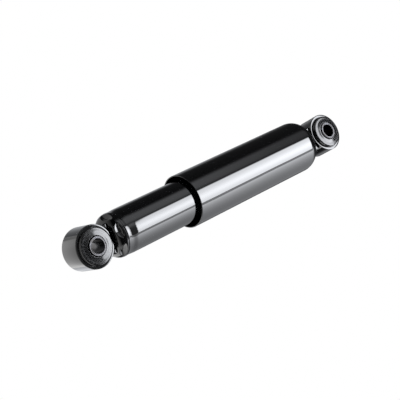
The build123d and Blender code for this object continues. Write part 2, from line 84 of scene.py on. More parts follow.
def corner_arc(before, corner, after, radius, steps):
    """Points of the arc that touches both sides of a corner. Its centre lies on the bisector,
    at radius / sin(half the angle between the sides)."""
    to_before = (before - corner) / np.linalg.norm(before - corner)
    to_after = (after - corner) / np.linalg.norm(after - corner)
    half = np.arccos(np.clip(to_before @ to_after, -1, 1)) / 2
    bisector = (to_before + to_after) / np.linalg.norm(to_before + to_after)
    centre = corner + bisector * radius / np.sin(half)
    first = corner + to_before * radius / np.tan(half) - centre
    last = corner + to_after * radius / np.tan(half) - centre
    share = np.linspace(0, 1, steps + 1)[:, None]
    sweep = np.pi - 2 * half
    return centre + (first * np.sin((1 - share) * sweep) + last * np.sin(share * sweep)) / np.sin(sweep)


def rounded_outline(corners, radii, spacing, arc_steps=8):
    """Closed outline through corners, each rounded by its radius. Straight stretches are divided
    by the cosine rule, (1 - cos(pi k / n)) / 2, so that the steps are shortest beside the arcs."""
    corners = np.asarray(corners, float)
    count = len(corners)
    pieces = []
    for k, radius in enumerate(radii):
        near = (corners[k - 1], corners[k], corners[(k + 1) % count])
        pieces.append(corner_arc(*near, radius, arc_steps) if radius > 0 else corners[k][None])
    line = []
    for k, piece in enumerate(pieces):
        start, end = piece[-1], pieces[(k + 1) % count][0]
        steps = max(2, int(np.ceil(np.linalg.norm(end - start) / spacing)))
        share = (1 - np.cos(np.pi * np.arange(1, steps) / steps)) / 2
        line += [piece, start + (end - start) * share[:, None]]
    return np.concatenate(line)


def round_angles(columns):
    """Angles of the columns of a surface that goes once round its axis."""
    return np.linspace(0, full_turn, columns, endpoint=False)[None]


def carried_round(radius, height, angle, axes):
    """Points origin + radius (cos angle ex + sin angle ey) + height ez, on the grid that the
    radius and height arrays make with the angles."""
    origin, ex, ey, ez = axes
    radius, height, angle = np.broadcast_arrays(radius, height, angle)
    ring = np.cos(angle)[..., None] * ex + np.sin(angle)[..., None] * ey
    return origin + radius[..., None] * ring + height[..., None] * ez


def surface(name, points, wrap=(True, True)):
    """Mesh over a grid of points: each cell is a quad, and a wrapped direction joins its last
    line to its first. Points that coincide are merged, and the faces are turned outwards."""
    rows, columns = points.shape[:2]
    row = np.arange(rows if wrap[0] else rows - 1)[:, None]
    column = np.arange(columns if wrap[1] else columns - 1)[None, :]
    next_row, next_column = (row + 1) % rows, (column + 1) % columns
    cells = [row * columns + column, row * columns + next_column]
    cells += [next_row * columns + next_column, next_row * columns + column]
    quads = np.stack(np.broadcast_arrays(*cells), -1).reshape(-1, 4)
    mesh = bpy.data.meshes.new(name)
    mesh.from_pydata(points.reshape(-1, 3).tolist(), [], quads.tolist())
    shell = bmesh.new()
    shell.from_mesh(mesh)
    bmesh.ops.remove_doubles(shell, verts=shell.verts, dist=1e-7)
    bmesh.ops.recalc_face_normals(shell, faces=shell.faces)
    shell.to_mesh(mesh)
    shell.free()
    mesh.polygons.foreach_set("use_smooth", np.ones(len(mesh.polygons), bool))
    piece = bpy.data.objects.new(name, mesh)
    bpy.context.scene.collection.objects.link(piece)
    return piece


def dress(piece, material, slot, body, *nodes):
    """Gives a new piece its material, the body it rides on and the nodes it replaces. The slot is not used.
    """
    piece.data.materials.clear()
    piece.data.materials.append(material)
    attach(piece, body)
    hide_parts(*nodes)


def finish_group(name, *inputs):
    """Empty shader group that puts out a colour, a roughness and a normal. Each input is
    (name, kind, default)."""
    tree = bpy.data.node_groups.new(name, "ShaderNodeTree")
    for label, kind, value in inputs:
        socket = tree.interface.new_socket(label, in_out="INPUT", socket_type="NodeSocket" + kind)
        socket.default_value = value
    for label, kind in (("Colour", "Color"), ("Roughness", "Float"), ("Normal", "Vector")):
        tree.interface.new_socket(label, in_out="OUTPUT", socket_type="NodeSocket" + kind)
    return tree, tree.nodes.new("NodeGroupInput")


def put_out(tree, colour, roughness, normal):
    """Closes a shader group: leads its three results to the sockets that it puts out."""
    out = tree.nodes.new("NodeGroupOutput")
    for label, source in (("Colour", colour), ("Roughness", roughness), ("Normal", normal)):
        tree.links.new(source, out.inputs[label])
    return tree


def set_sockets(tree, node, sources):
    """Feeds sockets, by name or number: each from a source socket or with a plain value."""
    for key, source in sources.items():
        if isinstance(source, bpy.types.NodeSocket):
            tree.links.new(source, node.inputs[key])
        else:
            node.inputs[key].default_value = source


def add_node(tree, kind, sources=None, **settings):
    """New shader node in a tree, with its settings and its fed sockets."""
    node = tree.nodes.new("ShaderNode" + kind)
    for key, value in settings.items():
        setattr(node, key, value)
    set_sockets(tree, node, sources or {})
    return node


def add_maths(tree, operation, first, second=0.0):
    """Output of a Math node."""
    return add_node(tree, "Math", {0: first, 1: second}, operation=operation).outputs[0]


def add_ramp(tree, value, start, end, low=0.0, high=1.0, **settings):
    """Output of a Map Range node: low at the start, high at the end, and level beyond them."""
    return add_node(tree, "MapRange", {0: value, 1: start, 2: end, 3: low, 4: high}, **settings).outputs[0]


def add_blend(tree, share, first, second):
    """Output of a Mix node between two colours."""
    return add_node(tree, "Mix", {0: share, 6: first, 7: second}, data_type="RGBA").outputs[2]


def add_bump(tree, height, depth):
    """Output of a Bump node whose relief is so deep, in metres."""
    return add_node(tree, "Bump", {"Height": height, "Distance": depth}).outputs[0]


def new_material(name, **sockets):
    """Material with a Principled shader, whose plain values are given by socket name."""
    material = bpy.data.materials.new(name)
    material.use_nodes = True
    shader = material.node_tree.nodes["Principled BSDF"]
    for key, value in sockets.items():
        shader.inputs[key.replace("_", " ")].default_value = value
    return material, material.node_tree, shader


def finished_with(tree, shader, group, values):
    """Places a shader group in a material and leads its colour, roughness and normal on."""
    node = tree.nodes.new("ShaderNodeGroup")
    node.node_tree = group
    set_sockets(tree, node, values)
    for label, socket in (("Colour", "Base Color"), ("Roughness", "Roughness"), ("Normal", "Normal")):
        tree.links.new(node.outputs[label], shader.inputs[socket])


def turned_metal_group():
    """Marks of a lathe: noise read at (distance from the axis, height along it), so that it makes
    rings on a face and lines round a shaft, with blotches of oil over it."""
    tree, given = finish_group(
        "turned_metal",
        ("Vector", "Vector", (0, 0, 0)),
        ("Colour", "Color", (0.5, 0.5, 0.5, 1)),
        ("Roughness", "Float", 0.3),
        ("Mark Pitch", "Float", 0.0002),
        ("Mark Depth", "Float", 0.000004),
        ("Oil", "Float", 0.3),
    )
    place, plain = given.outputs["Vector"], given.outputs["Colour"]
    oil_tint, mark_gloss, oil_gloss = (0.62, 0.58, 0.52), 0.16, 0.12
    flat = add_node(tree, "VectorMath", {0: place, 1: (1, 1, 0)}, operation="MULTIPLY").outputs[0]
    reach = add_node(tree, "VectorMath", {0: flat}, operation="LENGTH").outputs["Value"]
    height = add_node(tree, "SeparateXYZ", {0: place}).outputs["Z"]
    along = add_node(tree, "CombineXYZ", {0: reach, 1: height}).outputs[0]
    pitch = add_maths(tree, "DIVIDE", 1.0, given.outputs["Mark Pitch"])
    marks = add_node(tree, "TexNoise", {"Vector": along, "Scale": pitch, "Detail": 3.0}).outputs[0]
    blotch = add_node(tree, "TexNoise", {"Vector": place, "Scale": 90.0, "Detail": 4.0}).outputs[0]
    oil = add_maths(tree, "MULTIPLY", add_ramp(tree, blotch, 0.42, 0.62), given.outputs["Oil"])
    dark = add_node(tree, "VectorMath", {0: plain, 1: oil_tint}, operation="MULTIPLY").outputs[0]
    rough = add_maths(tree, "ADD", add_maths(tree, "MULTIPLY", marks, mark_gloss), given.outputs["Roughness"])
    rough = add_maths(tree, "SUBTRACT", rough, add_maths(tree, "MULTIPLY", oil, oil_gloss))
    bump = add_bump(tree, marks, given.outputs["Mark Depth"])
    return put_out(tree, add_blend(tree, oil, plain, dark), rough, bump)


turned_metal = turned_metal_group()


def steel_of_eye(name, origin, across):
    """Zinc-plated steel of a pin sleeve. A Mapping node lays the lathe marks round its bore."""
    material, tree, shader = new_material(name, Metallic=1.0)
    where = add_node(tree, "TexCoord").outputs["Object"]
    centred = add_node(tree, "Mapping", {"Vector": where, "Location": [-x for x in origin]})
    turn = np.arctan2(across[1], across[0])
    swung = add_node(tree, "Mapping", {"Vector": centred.outputs[0], "Rotation": (0, 0, -turn)})
    tipped = add_node(tree, "Mapping", {"Vector": swung.outputs[0], "Rotation": (np.pi / 2, 0, 0)})
    values = {"Vector": tipped.outputs[0], "Colour": sleeve_colour, "Roughness": 0.08}
    finished_with(tree, shader, turned_metal, values | {"Oil": 0.7, "Mark Pitch": 0.00035})
    return material


mounts = {mount["name"]: mount for mount in frame["record"]["mounts"]}
eyes = {}
for end, pin_body in (("lower", "lower_pin_sleeve"), ("upper", "upper_pin_sleeve")):
    mount = mounts[end + "_eye"]
    origin, bore_axis = np.array(mount["pos_m"]), np.array(mount["axis"])
    across = np.cross(bore_axis, (0, 0, 1))
    across /= np.linalg.norm(across)
    eyes[end] = (origin, across, np.array((0.0, 0.0, 1.0)), -bore_axis)
    low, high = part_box(end + "_sleeve")
    bore = mount["dims"]["r_mm"] * mm
    sleeve_radius = (high.z - low.z) / 2
    half_length = mount["dims"]["length_mm"] * mm / 2
    corners = [(bore, -half_length), (sleeve_radius, -half_length)]
    corners += [(sleeve_radius, half_length), (bore, half_length)]
    outline = rounded_outline(corners, [sleeve_edge] * 4, sleeve_spacing)
    radius, height = outline[:, :1], outline[:, 1:]
    angle = round_angles(tooth_count * columns_per_tooth)
    on_face = np.clip(1 - np.abs(radius - (bore + sleeve_radius) / 2) / tooth_reach, 0, 1) ** 0.5
    on_face = on_face * (np.abs(height) > half_length - sleeve_edge / 2)
    tooth = np.clip(0.5 + tooth_flank * np.cos(tooth_count * angle), 0, 1)
    height = height - np.sign(height) * tooth_depth * on_face * tooth
    sleeve = surface(end + "_pin_sleeve", carried_round(radius, height, angle, eyes[end]))
    steel = steel_of_eye(end + "_sleeve_steel", origin, across)
    dress(sleeve, steel, "sleeve_steel", pin_body, end + "_sleeve")

# Eye bushes: black rubber moulded between the sleeve and the ring. It stands out of the ring in a
# soft crown, with a small lip against the sleeve, and the enamel has been sprayed over it.
rubber_colour = (0.008, 0.008, 0.0085, 1)
lip_height = 1.0 * mm
lip_width = 1.7 * mm
lip_bend = (0.5, 0.2)
shoulder_width = 1.5 * mm
shoulder_height = 5.3 * mm
shoulder_bend = (0.2, 0.55)
crown_dip = 0.6
ring_edge = 0.9 * mm
steps_per_span = 8
wall_rows = 12
eye_columns = 192
eye_bodies = {"lower": "reservoir_assembly", "upper": "rod_assembly"}


def smooth_line(points, steps):
    """Catmull-Rom curve through the points: on each span it is the cubic whose end slopes are
    half the difference of the neighbouring points."""
    points = np.asarray(points, float)
    ends = np.concatenate([[2 * points[0] - points[1]], points, [2 * points[-1] - points[-2]]])
    t = np.linspace(0, 1, steps, endpoint=False)[None, :, None]
    a, b, c, d = (ends[k:len(points) - 1 + k][:, None] for k in range(4))
    square, cube = (2 * a - 5 * b + 4 * c - d) * t**2, (3 * b - a - 3 * c + d) * t**3
    spans = 0.5 * (2 * b + (c - a) * t + square + cube)
    return np.concatenate([spans.reshape(-1, 2), points[-1:]])


def moulded_skin_group():
    """Skin of moulded rubber or plastic: fine grain, wide flow marks and a little pale bloom."""
    tree, given = finish_group(
        "moulded_skin",
        ("Colour", "Color", (0.02, 0.02, 0.02, 1)),
        ("Roughness", "Float", 0.4),
        ("Grain Size", "Float", 0.0006),
        ("Grain Depth", "Float", 0.00001),
        ("Bloom", "Float", 0.1),
    )
    pale, bloom_dullness, flow_height = (0.2, 0.2, 0.2, 1), 0.8, 2.0
    where = add_node(tree, "TexCoord").outputs["Object"]
    scale = add_maths(tree, "DIVIDE", 1.0, given.outputs["Grain Size"])
    grain = add_node(tree, "TexNoise", {"Vector": where, "Scale": scale, "Detail": 3.0}).outputs[0]
    stream = {"Vector": where, "Scale": 110.0, "Detail": 2.0, "Distortion": 0.8}
    flow = add_node(tree, "TexNoise", stream).outputs[0]
    haze = add_maths(tree, "MULTIPLY", add_ramp(tree, flow, 0.45, 0.75), given.outputs["Bloom"])
    colour = add_blend(tree, haze, given.outputs["Colour"], pale)
    duller = add_maths(tree, "MULTIPLY", haze, bloom_dullness)
    rough = add_maths(tree, "ADD", given.outputs["Roughness"], duller)
    relief = add_maths(tree, "ADD", grain, add_maths(tree, "MULTIPLY", flow, flow_height))
    return put_out(tree, colour, rough, add_bump(tree, relief, given.outputs["Grain Depth"]))


moulded_skin = moulded_skin_group()
spray = {"Coat_Weight": 1.0, "Coat_Roughness": 0.12, "Coat_IOR": 1.6, "Specular_IOR_Level": 0.1}
rubber, tree, shader = new_material("sprayed_rubber", **spray)
values = {"Colour": rubber_colour, "Roughness": 0.4, "Grain Depth": 0.000004, "Bloom": 0.02}
finished_with(tree, shader, moulded_skin, values)

# Both eyes are alike, and the lower one lies square in the frame, so that its boxes give the sizes.
ring_low, ring_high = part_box("lower_eye_ring")
ring_radius = (ring_high.z - ring_low.z) / 2
half_width = (ring_high.y - ring_low.y) / 2
rubber_low, rubber_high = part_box("lower_bush_rubber")
rubber_radius = (rubber_high.z - rubber_low.z) / 2
crown_height = (rubber_high.y - rubber_low.y) / 2
waist = half_width - ring_edge
crown_rise = crown_height - waist - shoulder_height
lip_start = crown_height - lip_height
side = [
    (rubber_radius, waist),
    (rubber_radius - shoulder_bend[0] * shoulder_width, waist + shoulder_bend[1] * shoulder_height),
    (rubber_radius - shoulder_width, waist + shoulder_height),
    ((rubber_radius + sleeve_radius) / 2, crown_height - crown_dip * crown_rise),
    (sleeve_radius + lip_width, crown_height),
    (sleeve_radius + lip_bend[0] * lip_width, crown_height - lip_bend[1] * lip_height),
    (sleeve_radius, lip_start),
]
half = smooth_line(side, steps_per_span)
wall = np.linspace(1, -1, wall_rows)[1:-1, None]
bore_wall = np.concatenate([np.full_like(wall, sleeve_radius), wall * lip_start], 1)
outer_wall = np.concatenate([np.full_like(wall, rubber_radius), -wall * waist], 1)
outline = np.concatenate([half, bore_wall, half[::-1] * (1, -1), outer_wall])
for end, axes in eyes.items():
    points = carried_round(outline[:, :1], outline[:, 1:], round_angles(eye_columns), axes)
    bush = surface(end + "_bush", points)
    dress(bush, rubber, "bush_rubber", eye_bodies[end], end + "_bush_rubber")

# Eye rings: short lengths of thick steel tube, sawn off and tumbled so that their edges are
# round, then welded on and dipped in gloss black enamel with the rest of the damper.
ring_wall = 4.0 * mm
ring_bore_edge = 0.2 * mm
ring_spacing = 2 * mm
paint_colour = (0.002, 0.002, 0.0022, 1)
peel_depth = 0.000006


def enamel_group():
    """Gloss enamel: orange peel of two sizes, faint wipe marks along the damper that change the
    gloss, and a few specks of dust."""
    tree, given = finish_group(
        "enamel",
        ("Colour", "Color", (0.005, 0.005, 0.005, 1)),
        ("Roughness", "Float", 0.05),
        ("Peel Depth", "Float", 0.000004),
        ("Dust", "Float", 0.3),
    )
    dust_grey, dust_dullness, dust_share = (0.16, 0.155, 0.15, 1), 0.5, 0.14
    sag_height, wipe_dullness = 3.0, 0.04
    where = add_node(tree, "TexCoord").outputs["Object"]
    peel = add_node(tree, "TexNoise", {"Vector": where, "Scale": 330.0, "Detail": 1.5}).outputs[0]
    sag = add_node(tree, "TexNoise", {"Vector": where, "Scale": 55.0, "Detail": 1.0}).outputs[0]
    relief = add_maths(tree, "ADD", peel, add_maths(tree, "MULTIPLY", sag, sag_height))
    drawn = add_node(tree, "Mapping", {"Vector": where, "Scale": (260.0, 260.0, 9.0)}).outputs[0]
    wipe = add_node(tree, "TexNoise", {"Vector": drawn, "Scale": 1.0, "Detail": 3.0}).outputs[0]
    specks = add_node(tree, "TexVoronoi", {"Vector": where, "Scale": 420.0})
    speck = add_ramp(tree, specks.outputs["Distance"], 0.09, 0.04)
    chance = add_node(tree, "SeparateColor", {0: specks.outputs["Color"]}).outputs[0]
    speck = add_maths(tree, "MULTIPLY", speck, add_maths(tree, "GREATER_THAN", chance, 1 - dust_share))
    speck = add_maths(tree, "MULTIPLY", speck, given.outputs["Dust"])
    wiped = add_ramp(tree, wipe, 0.4, 0.8, 0.0, wipe_dullness)
    rough = add_maths(tree, "ADD", given.outputs["Roughness"], wiped)
    rough = add_maths(tree, "ADD", rough, add_maths(tree, "MULTIPLY", speck, dust_dullness))
    colour = add_blend(tree, speck, given.outputs["Colour"], dust_grey)
    return put_out(tree, colour, rough, add_bump(tree, relief, given.outputs["Peel Depth"]))


enamel = enamel_group()
paint, tree, shader = new_material("black_enamel", Coat_Weight=1.0, Coat_Roughness=0.02, Coat_IOR=1.5)
finished_with(tree, shader, enamel, {"Colour": paint_colour, "Roughness": 0.03, "Peel Depth": peel_depth})

ring_bore = ring_radius - ring_wall
corners = [(ring_bore, -half_width), (ring_radius, -half_width)]
corners += [(ring_radius, half_width), (ring_bore, half_width)]
outline = rounded_outline(corners, [ring_bore_edge, ring_edge, ring_edge, ring_bore_edge], ring_spacing)
for end, axes in eyes.items():
    points = carried_round(outline[:, :1], outline[:, 1:], round_angles(eye_columns), axes)
    ring = surface(end + "_ring", points)
    dress(ring, paint, "black_paint", eye_bodies[end], end + "_eye_ring")

# Eye welds: a fillet bead on each side of the ring, where it touches the base cap or the crown of
# the cover. Each bead is laid along the ring, so its face is rippled across and its ends are round.
weld_colour = (0.003, 0.003, 0.0032, 1)
ripple_pitch = 2.3 * mm
ripple_depth = 0.22 * mm
ripple_lag = 1.6
bead_bulge = 0.9 * mm
bead_reach = 2.6 * mm
bead_toe = 0.5 * mm
bead_spacing = 0.7 * mm
bead_rows = 150
end_share = 0.16
end_size = 0.25
end_depth = 1.5 * mm
start_sink = 0.2 * mm
reach_sink = 0.4 * mm
face_band = 0.3 * mm
bead_starts = {"lower": 5 * mm, "upper": -0.3 * mm}
bead_feet = {"lower": 22.2 * mm, "upper": 17.5 * mm}
bead_sinks = {"lower": 1.6 * mm, "upper": 0.7 * mm}
bead_walls = {"lower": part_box("base_cap")[0].z, "upper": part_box("dust_cover")[1].z}
weld_low, weld_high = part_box("lower_eye_weld")
bead_half_length = (weld_high.y - weld_low.y) / 2
weld_paint, tree, shader = new_material("weld_enamel", Coat_Weight=1.0, Coat_Roughness=0.03, Coat_IOR=1.5)
finished_with(tree, shader, enamel, {"Colour": weld_colour, "Roughness": 0.1, "Peel Depth": 2 * peel_depth})


def rippled_bead(corners):
    """Bead with a four-cornered cross-section, as a grid of its places across and its places
    along. Its open face, between the second and the third corner, swells by a half sine, with
    ripples of |sin| along the bead. At both ends the section shrinks about a place inside it by
    a quarter circle."""
    corners = np.array(corners)
    section = rounded_outline(corners, [0, bead_toe, bead_toe, 0], bead_spacing)
    face = corners[2] - corners[1]
    face_length = np.linalg.norm(face)
    outward = np.array((face[1], -face[0])) / face_length
    share = (section - corners[1]) @ face / face_length**2
    depth = (section - corners[1]) @ outward
    open_face = (np.abs(depth) < face_band) & (share > 0) & (share < 1)
    swell = np.where(open_face, np.sin(np.pi * np.clip(share, 0, 1)), 0.0)
    t = np.sin(np.linspace(-np.pi / 2, np.pi / 2, bead_rows))[:, None]
    along = t * bead_half_length
    phase = along / ripple_pitch * full_turn + ripple_lag * np.cos(np.pi * share)[None]
    ripple = bead_bulge + ripple_depth * np.abs(np.sin(phase / 2))
    round_end = np.clip((1 - np.abs(t)) / end_share, 0, 1)
    round_end = np.sqrt(1 - (1 - round_end) ** 2)
    push = swell[None] * ripple * round_end
    middle = (corners[1] + corners[2]) / 2 - outward * end_depth
    shape = section[None] + push[..., None] * outward
    shape = middle + (shape - middle) * (end_size + (1 - end_size) * round_end[..., None])
    tip = np.repeat(middle[None, None], shape.shape[1], 1)
    return np.concatenate([tip, shape, tip]), np.concatenate([along[:1], along, along[-1:]])


# Each corner is (across from the eye's middle, toward the wall): two on the ring, two on the wall.
ring_x = (weld_high.x - weld_low.x) / 2 - bead_reach
ring_y = np.sqrt(ring_radius**2 - ring_x**2)
for end, (origin, across, up, along) in eyes.items():
    toward = 1 if end == "lower" else -1
    foot_y = abs(bead_walls[end] - origin[2]) + bead_sinks[end]
    corners = [(bead_starts[end], ring_radius - start_sink), (ring_x, ring_y - reach_sink)]
    corners += [(bead_feet[end], foot_y), (bead_starts[end], foot_y)]
    shape, run = rippled_bead(corners)
    for side, label in ((-1, "left"), (1, "right")):
        flat = side * shape[..., :1] * across + toward * shape[..., 1:] * up
        bead = surface(f"{end}_eye_bead_{label}", origin + flat + run[..., None] * along, wrap=(False, True))
        dress(bead, weld_paint, "weld_paint", eye_bodies[end], end + "_eye_weld")

# Base cap: a cup pressed from sheet steel, with a round corner. Six shallow dents are punched into
# the corner from outside. Inside, they centre the foot valve.
corner_radius = 14 * mm
cap_wall = 3 * mm
dent_angles = np.radians(-44.0 + 60.0 * np.arange(6))
dent_radius = 22 * mm
dent_depth = 5.8 * mm
dent_top = 38.5 * mm
dent_step = 450.0
dent_slope = 0.07
dent_softness = 0.6 * mm
punch_reach = 0.6
steepest_face = 0.4
punch_passes = 6
cap_floor_rows = 24
cap_rim_rows = 8
outer_arc_rows = 64
inner_arc_rows = 24
cap_columns = 480
cap_low, cap_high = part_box("base_cap")
neck_radius = cap_high.y
axis_axes = (np.zeros(3), np.array((1.0, 0, 0)), np.array((0, 1.0, 0)), np.array((0, 0, 1.0)))


def dented(radius, height, normal, angle, inset):
    """Moves a surface of revolution inwards along its normal until it clears a punch at each dent.
    With x toward the dent and y across it, the punch's face is x = x0 + y^2 / 2R - slope (z - z0),
    and it steps back by a square above its top. Each pass moves the surface by what is left
    between them, over the cosine of its slope. A soft maximum of the push and 0 rounds the rim."""
    push = np.zeros(np.broadcast_shapes(radius.shape, angle.shape))
    for dent in dent_angles:
        near, wide = np.cos(angle - dent), np.sin(angle - dent)
        depth = np.zeros_like(push)
        for _ in range(punch_passes):
            r, z = radius - depth * normal[0], height - depth * normal[1]
            step = np.clip(z - dent_top, 0, None) ** 2 * dent_step
            face = neck_radius - inset - dent_depth + (r * wide) ** 2 / (2 * dent_radius)
            face = face - dent_slope * (z - cap_low.z) + step
            depth = depth + (r * near - face) / np.clip(normal[0] * near, steepest_face, None)
        depth = np.where(near > punch_reach, depth, -cap_wall)
        blend = np.clip(0.5 + 0.5 * depth / dent_softness, 0, 1)
        push = np.maximum(push, depth * blend + dent_softness * blend * (1 - blend))
    return radius - push * normal[0], height - push * normal[1]


def cap_side(inset, arc_rows):
    """Radius, height and normal of the cap's wall, inset from its outside: a flat floor from the
    pole, a quarter circle of the corner radius less the inset, and a straight rim."""
    flat = neck_radius - corner_radius
    r_flat = np.linspace(0, flat, cap_floor_rows)[:-1]
    turn = np.linspace(0, np.pi / 2, arc_rows)
    arc = corner_radius - inset
    rim = np.linspace(cap_low.z + corner_radius, cap_high.z, cap_rim_rows)[1:]
    radius = np.concatenate([r_flat, flat + arc * np.sin(turn), np.full_like(rim, neck_radius - inset)])
    floor_z = cap_low.z + inset
    height = np.concatenate([np.full_like(r_flat, floor_z), floor_z + arc * (1 - np.cos(turn)), rim])
    lean = np.concatenate([np.zeros_like(r_flat), turn, np.full_like(rim, np.pi / 2)])
    return radius[:, None], height[:, None], (np.sin(lean)[:, None], -np.cos(lean)[:, None])


angle = round_angles(cap_columns)
walls = []
for inset, arc_rows in ((0.0, outer_arc_rows), (cap_wall, inner_arc_rows)):
    radius, height = dented(*cap_side(inset, arc_rows), angle, inset)
    walls.append(carried_round(radius, height, angle, axis_axes))
cap = surface("pressed_base_cap", np.concatenate([walls[0], walls[1][::-1]]), wrap=(False, True))
dress(cap, paint, "black_paint", "reservoir_assembly", "base_cap")

# Seam weld: one bead laid round the joint of base cap and reservoir tube by a rotating fixture and
# dressed down, so that only a low ridge is left. It is highest where it overlaps its start.
seam_crown = 0.42 * mm
seam_start = 44.4 * mm
seam_crest = 46.0 * mm
seam_end = 50.0 * mm
seam_sharpness = 3.0
seam_ripple_depth = 0.012 * mm
seam_ripples = 96
overlap_angle = np.radians(118.0)
overlap_width = np.radians(7.0)
overlap_rise = 0.25 * mm
seam_rows = 41
seam_columns = seam_ripples * 8
seam_depth = 1.2 * mm
seam_sink = 0.02 * mm
slow_wander = 0.15 * mm
quick_wander = 0.08 * mm


def seam_profile(up_slope, down_slope):
    """Height of the ridge between its two toes: the smaller of the slopes, (u^-n + d^-n)^(-1/n)."""
    slopes = np.clip([up_slope, down_slope], 1e-3, None)
    return (slopes**-seam_sharpness).sum(0) ** (-1 / seam_sharpness)


height = np.linspace(seam_start, seam_end, seam_rows)[:, None]
angle = round_angles(seam_columns)
up_slope = (height - seam_start) / (seam_crest - seam_start)
profile = seam_profile(up_slope, (seam_end - height) / (seam_end - seam_crest))
rise = seam_crown + seam_ripple_depth * np.sin(seam_ripples * angle + 4 * up_slope)
rise = rise + overlap_rise * np.exp(-(((angle - overlap_angle) / overlap_width) ** 2))
outer = neck_radius - seam_sink + rise * profile
wander = slow_wander * np.sin(2 * angle + 1.0) + quick_wander * np.sin(7 * angle)
height = height + wander * profile
root = np.full((3, seam_columns), neck_radius - seam_depth)
root_z = np.array((seam_end, seam_crest, seam_start))[:, None] * np.ones_like(angle)
points = carried_round(np.concatenate([outer, root]), np.concatenate([height, root_z]), angle, axis_axes)
seam = surface("seam_bead", points)
dress(seam, paint, "weld_paint", "reservoir_assembly", "base_weld")

# Reservoir tube: drawn steel tube, swaged down a little where the base cap is welded on, and
# rolled inwards over the closing plate at its top. Drawn tube is never quite straight.
tube_wall = 2 * mm
swage_start = 3 * mm
swage_length = 11 * mm
top_roll = 3 * mm
top_bore = 26 * mm
lip_edge = 0.3 * mm
inner_roll = 1 * mm
drawn_wave = 0.02 * mm
tube_spacing = 2.4 * mm
tube_columns = 256
tube_low, tube_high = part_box("reservoir_tube")
tube_radius = tube_high.y


def drawn_waviness(angle, height, depth):
    """Departure of a drawn tube from a true cylinder: three long waves along and around it."""
    along = full_turn * height
    waves = np.sin(along / 0.17 + 2 * angle) + 0.6 * np.sin(along / 0.083 + 3 * angle + 1.0)
    return depth * (waves + 0.5 * np.sin(5 * angle - along / 0.21))


corners = [(tube_radius, tube_low.z), (tube_radius, tube_high.z), (top_bore, tube_high.z)]
corners += [(top_bore, tube_high.z - tube_wall), (tube_radius - tube_wall, tube_high.z - tube_wall)]
corners += [(tube_radius - tube_wall, tube_low.z)]
outline = rounded_outline(corners, [0, top_roll, lip_edge, lip_edge, inner_roll, 0], tube_spacing)
radius, height = outline[:, :1], outline[:, 1:]

# The swage opens from the neck by the smooth step 3 t^2 - 2 t^3.
rise = np.clip((height - tube_low.z - swage_start) / swage_length, 0, 1)
swage = (tube_radius - neck_radius) * (1 - rise**2 * (3 - 2 * rise))
angle = round_angles(tube_columns)
radius = radius - swage + drawn_waviness(angle, height, drawn_wave)
tube = surface("outer_tube", carried_round(radius, height, angle, axis_axes))
dress(tube, paint, "black_paint", "reservoir_assembly", "reservoir_tube")

# Dust cover: a thin tube drawn in one piece with its domed end. The open end is trimmed square
# and its edge is rubbed round, so it catches the light as a thin line.
cover_wall = 1.5 * mm
cover_corner = 23 * mm
cover_edge = 0.7 * mm
cover_bore = 10.05 * mm
cover_wave = 0.025 * mm
cover_true_length = 20 * mm
cover_spacing = 2.8 * mm
cover_arc_steps = 40
cover_columns = 288
cover_low, cover_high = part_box("dust_cover")
cover_radius = cover_high.y
inner_radius = cover_radius - cover_wall
corners = [(cover_radius, cover_low.z), (cover_radius, cover_high.z), (cover_bore, cover_high.z)]
corners += [(cover_bore, cover_high.z - cover_wall), (inner_radius, cover_high.z - cover_wall)]
corners += [(inner_radius, cover_low.z)]
radii = [cover_edge, cover_corner, 0, 0, cover_corner - cover_wall, cover_edge]
outline = rounded_outline(corners, radii, cover_spacing, cover_arc_steps)
radius, height = outline[:, :1], outline[:, 1:]
angle = round_angles(cover_columns)
wavy = np.clip((cover_high.z - cover_corner - height) / cover_true_length, 0, 1) * (radius > cover_corner)
radius = radius + drawn_waviness(angle, height, cover_wave) * wavy
cover = surface("dust_tube", carried_round(radius, height, angle, axis_axes))
dress(cover, paint, "black_paint", "rod_assembly", "dust_cover")


# Pieces inside the damper. Each keeps its machined shape, and its finish says how it was made.
def dress_nodes(material, *names):
    """Gives a finish to nodes whose shape is right as it is."""
    for name in names:
        piece = frame["nodes"][name]
        piece.data.materials.clear()
        piece.data.materials.append(material)


def coaxial_steel(name, colour, roughness, pitch, depth, oil):
    """Metal that was turned or ground about the damper's own axis."""
    material, tree, shader = new_material(name, Metallic=1.0)
    where = add_node(tree, "TexCoord").outputs["Object"]
    values = {"Vector": where, "Colour": (*colour, 1), "Roughness": roughness}
    finished_with(tree, shader, turned_metal, values | {"Mark Pitch": pitch, "Mark Depth": depth, "Oil": oil})
    return material


# Pressure tube, head plate and closing plate: plain drawn or blanked steel, with a film of oil.
tube_steel = coaxial_steel("honed_steel", (0.5, 0.5, 0.5), 0.26, pitch=0.5 * mm, depth=4e-6, oil=0.5)
dress_nodes(tube_steel, "pressure_tube", "head_plate", "closing_plate", "stop_washer", "backing_washer")

# Piston rod: hard chrome over ground steel, the smoothest surface of the damper.
rod_chrome = coaxial_steel("hard_chrome", (0.62, 0.62, 0.63), 0.06, pitch=0.06 * mm, depth=6e-7, oil=0.2)
dress_nodes(rod_chrome, "piston_rod")

# Springs, shims and valve discs: thin strip, blanked, hardened and blued.
spring_steel = coaxial_steel("blued_strip", (0.2, 0.22, 0.27), 0.28, pitch=0.4 * mm, depth=3e-6, oil=0.4)
dress_nodes(spring_steel, "intake_spring", "check_spring", "compression_shims", "rebound_shims")
dress_nodes(spring_steel, "intake_disc", "check_plate", "seal_garter_spring")

# Each star spring is clamped at its hub, and is pressed flatter as its disc lifts. Here each one only gets a
# mesh of its own.
for joint in frame["record"]["behaviour"]["joints"]:
    for spring in joint.get("deforming_nodes", []):
        star = frame["nodes"][spring["node"]]
        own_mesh(star)

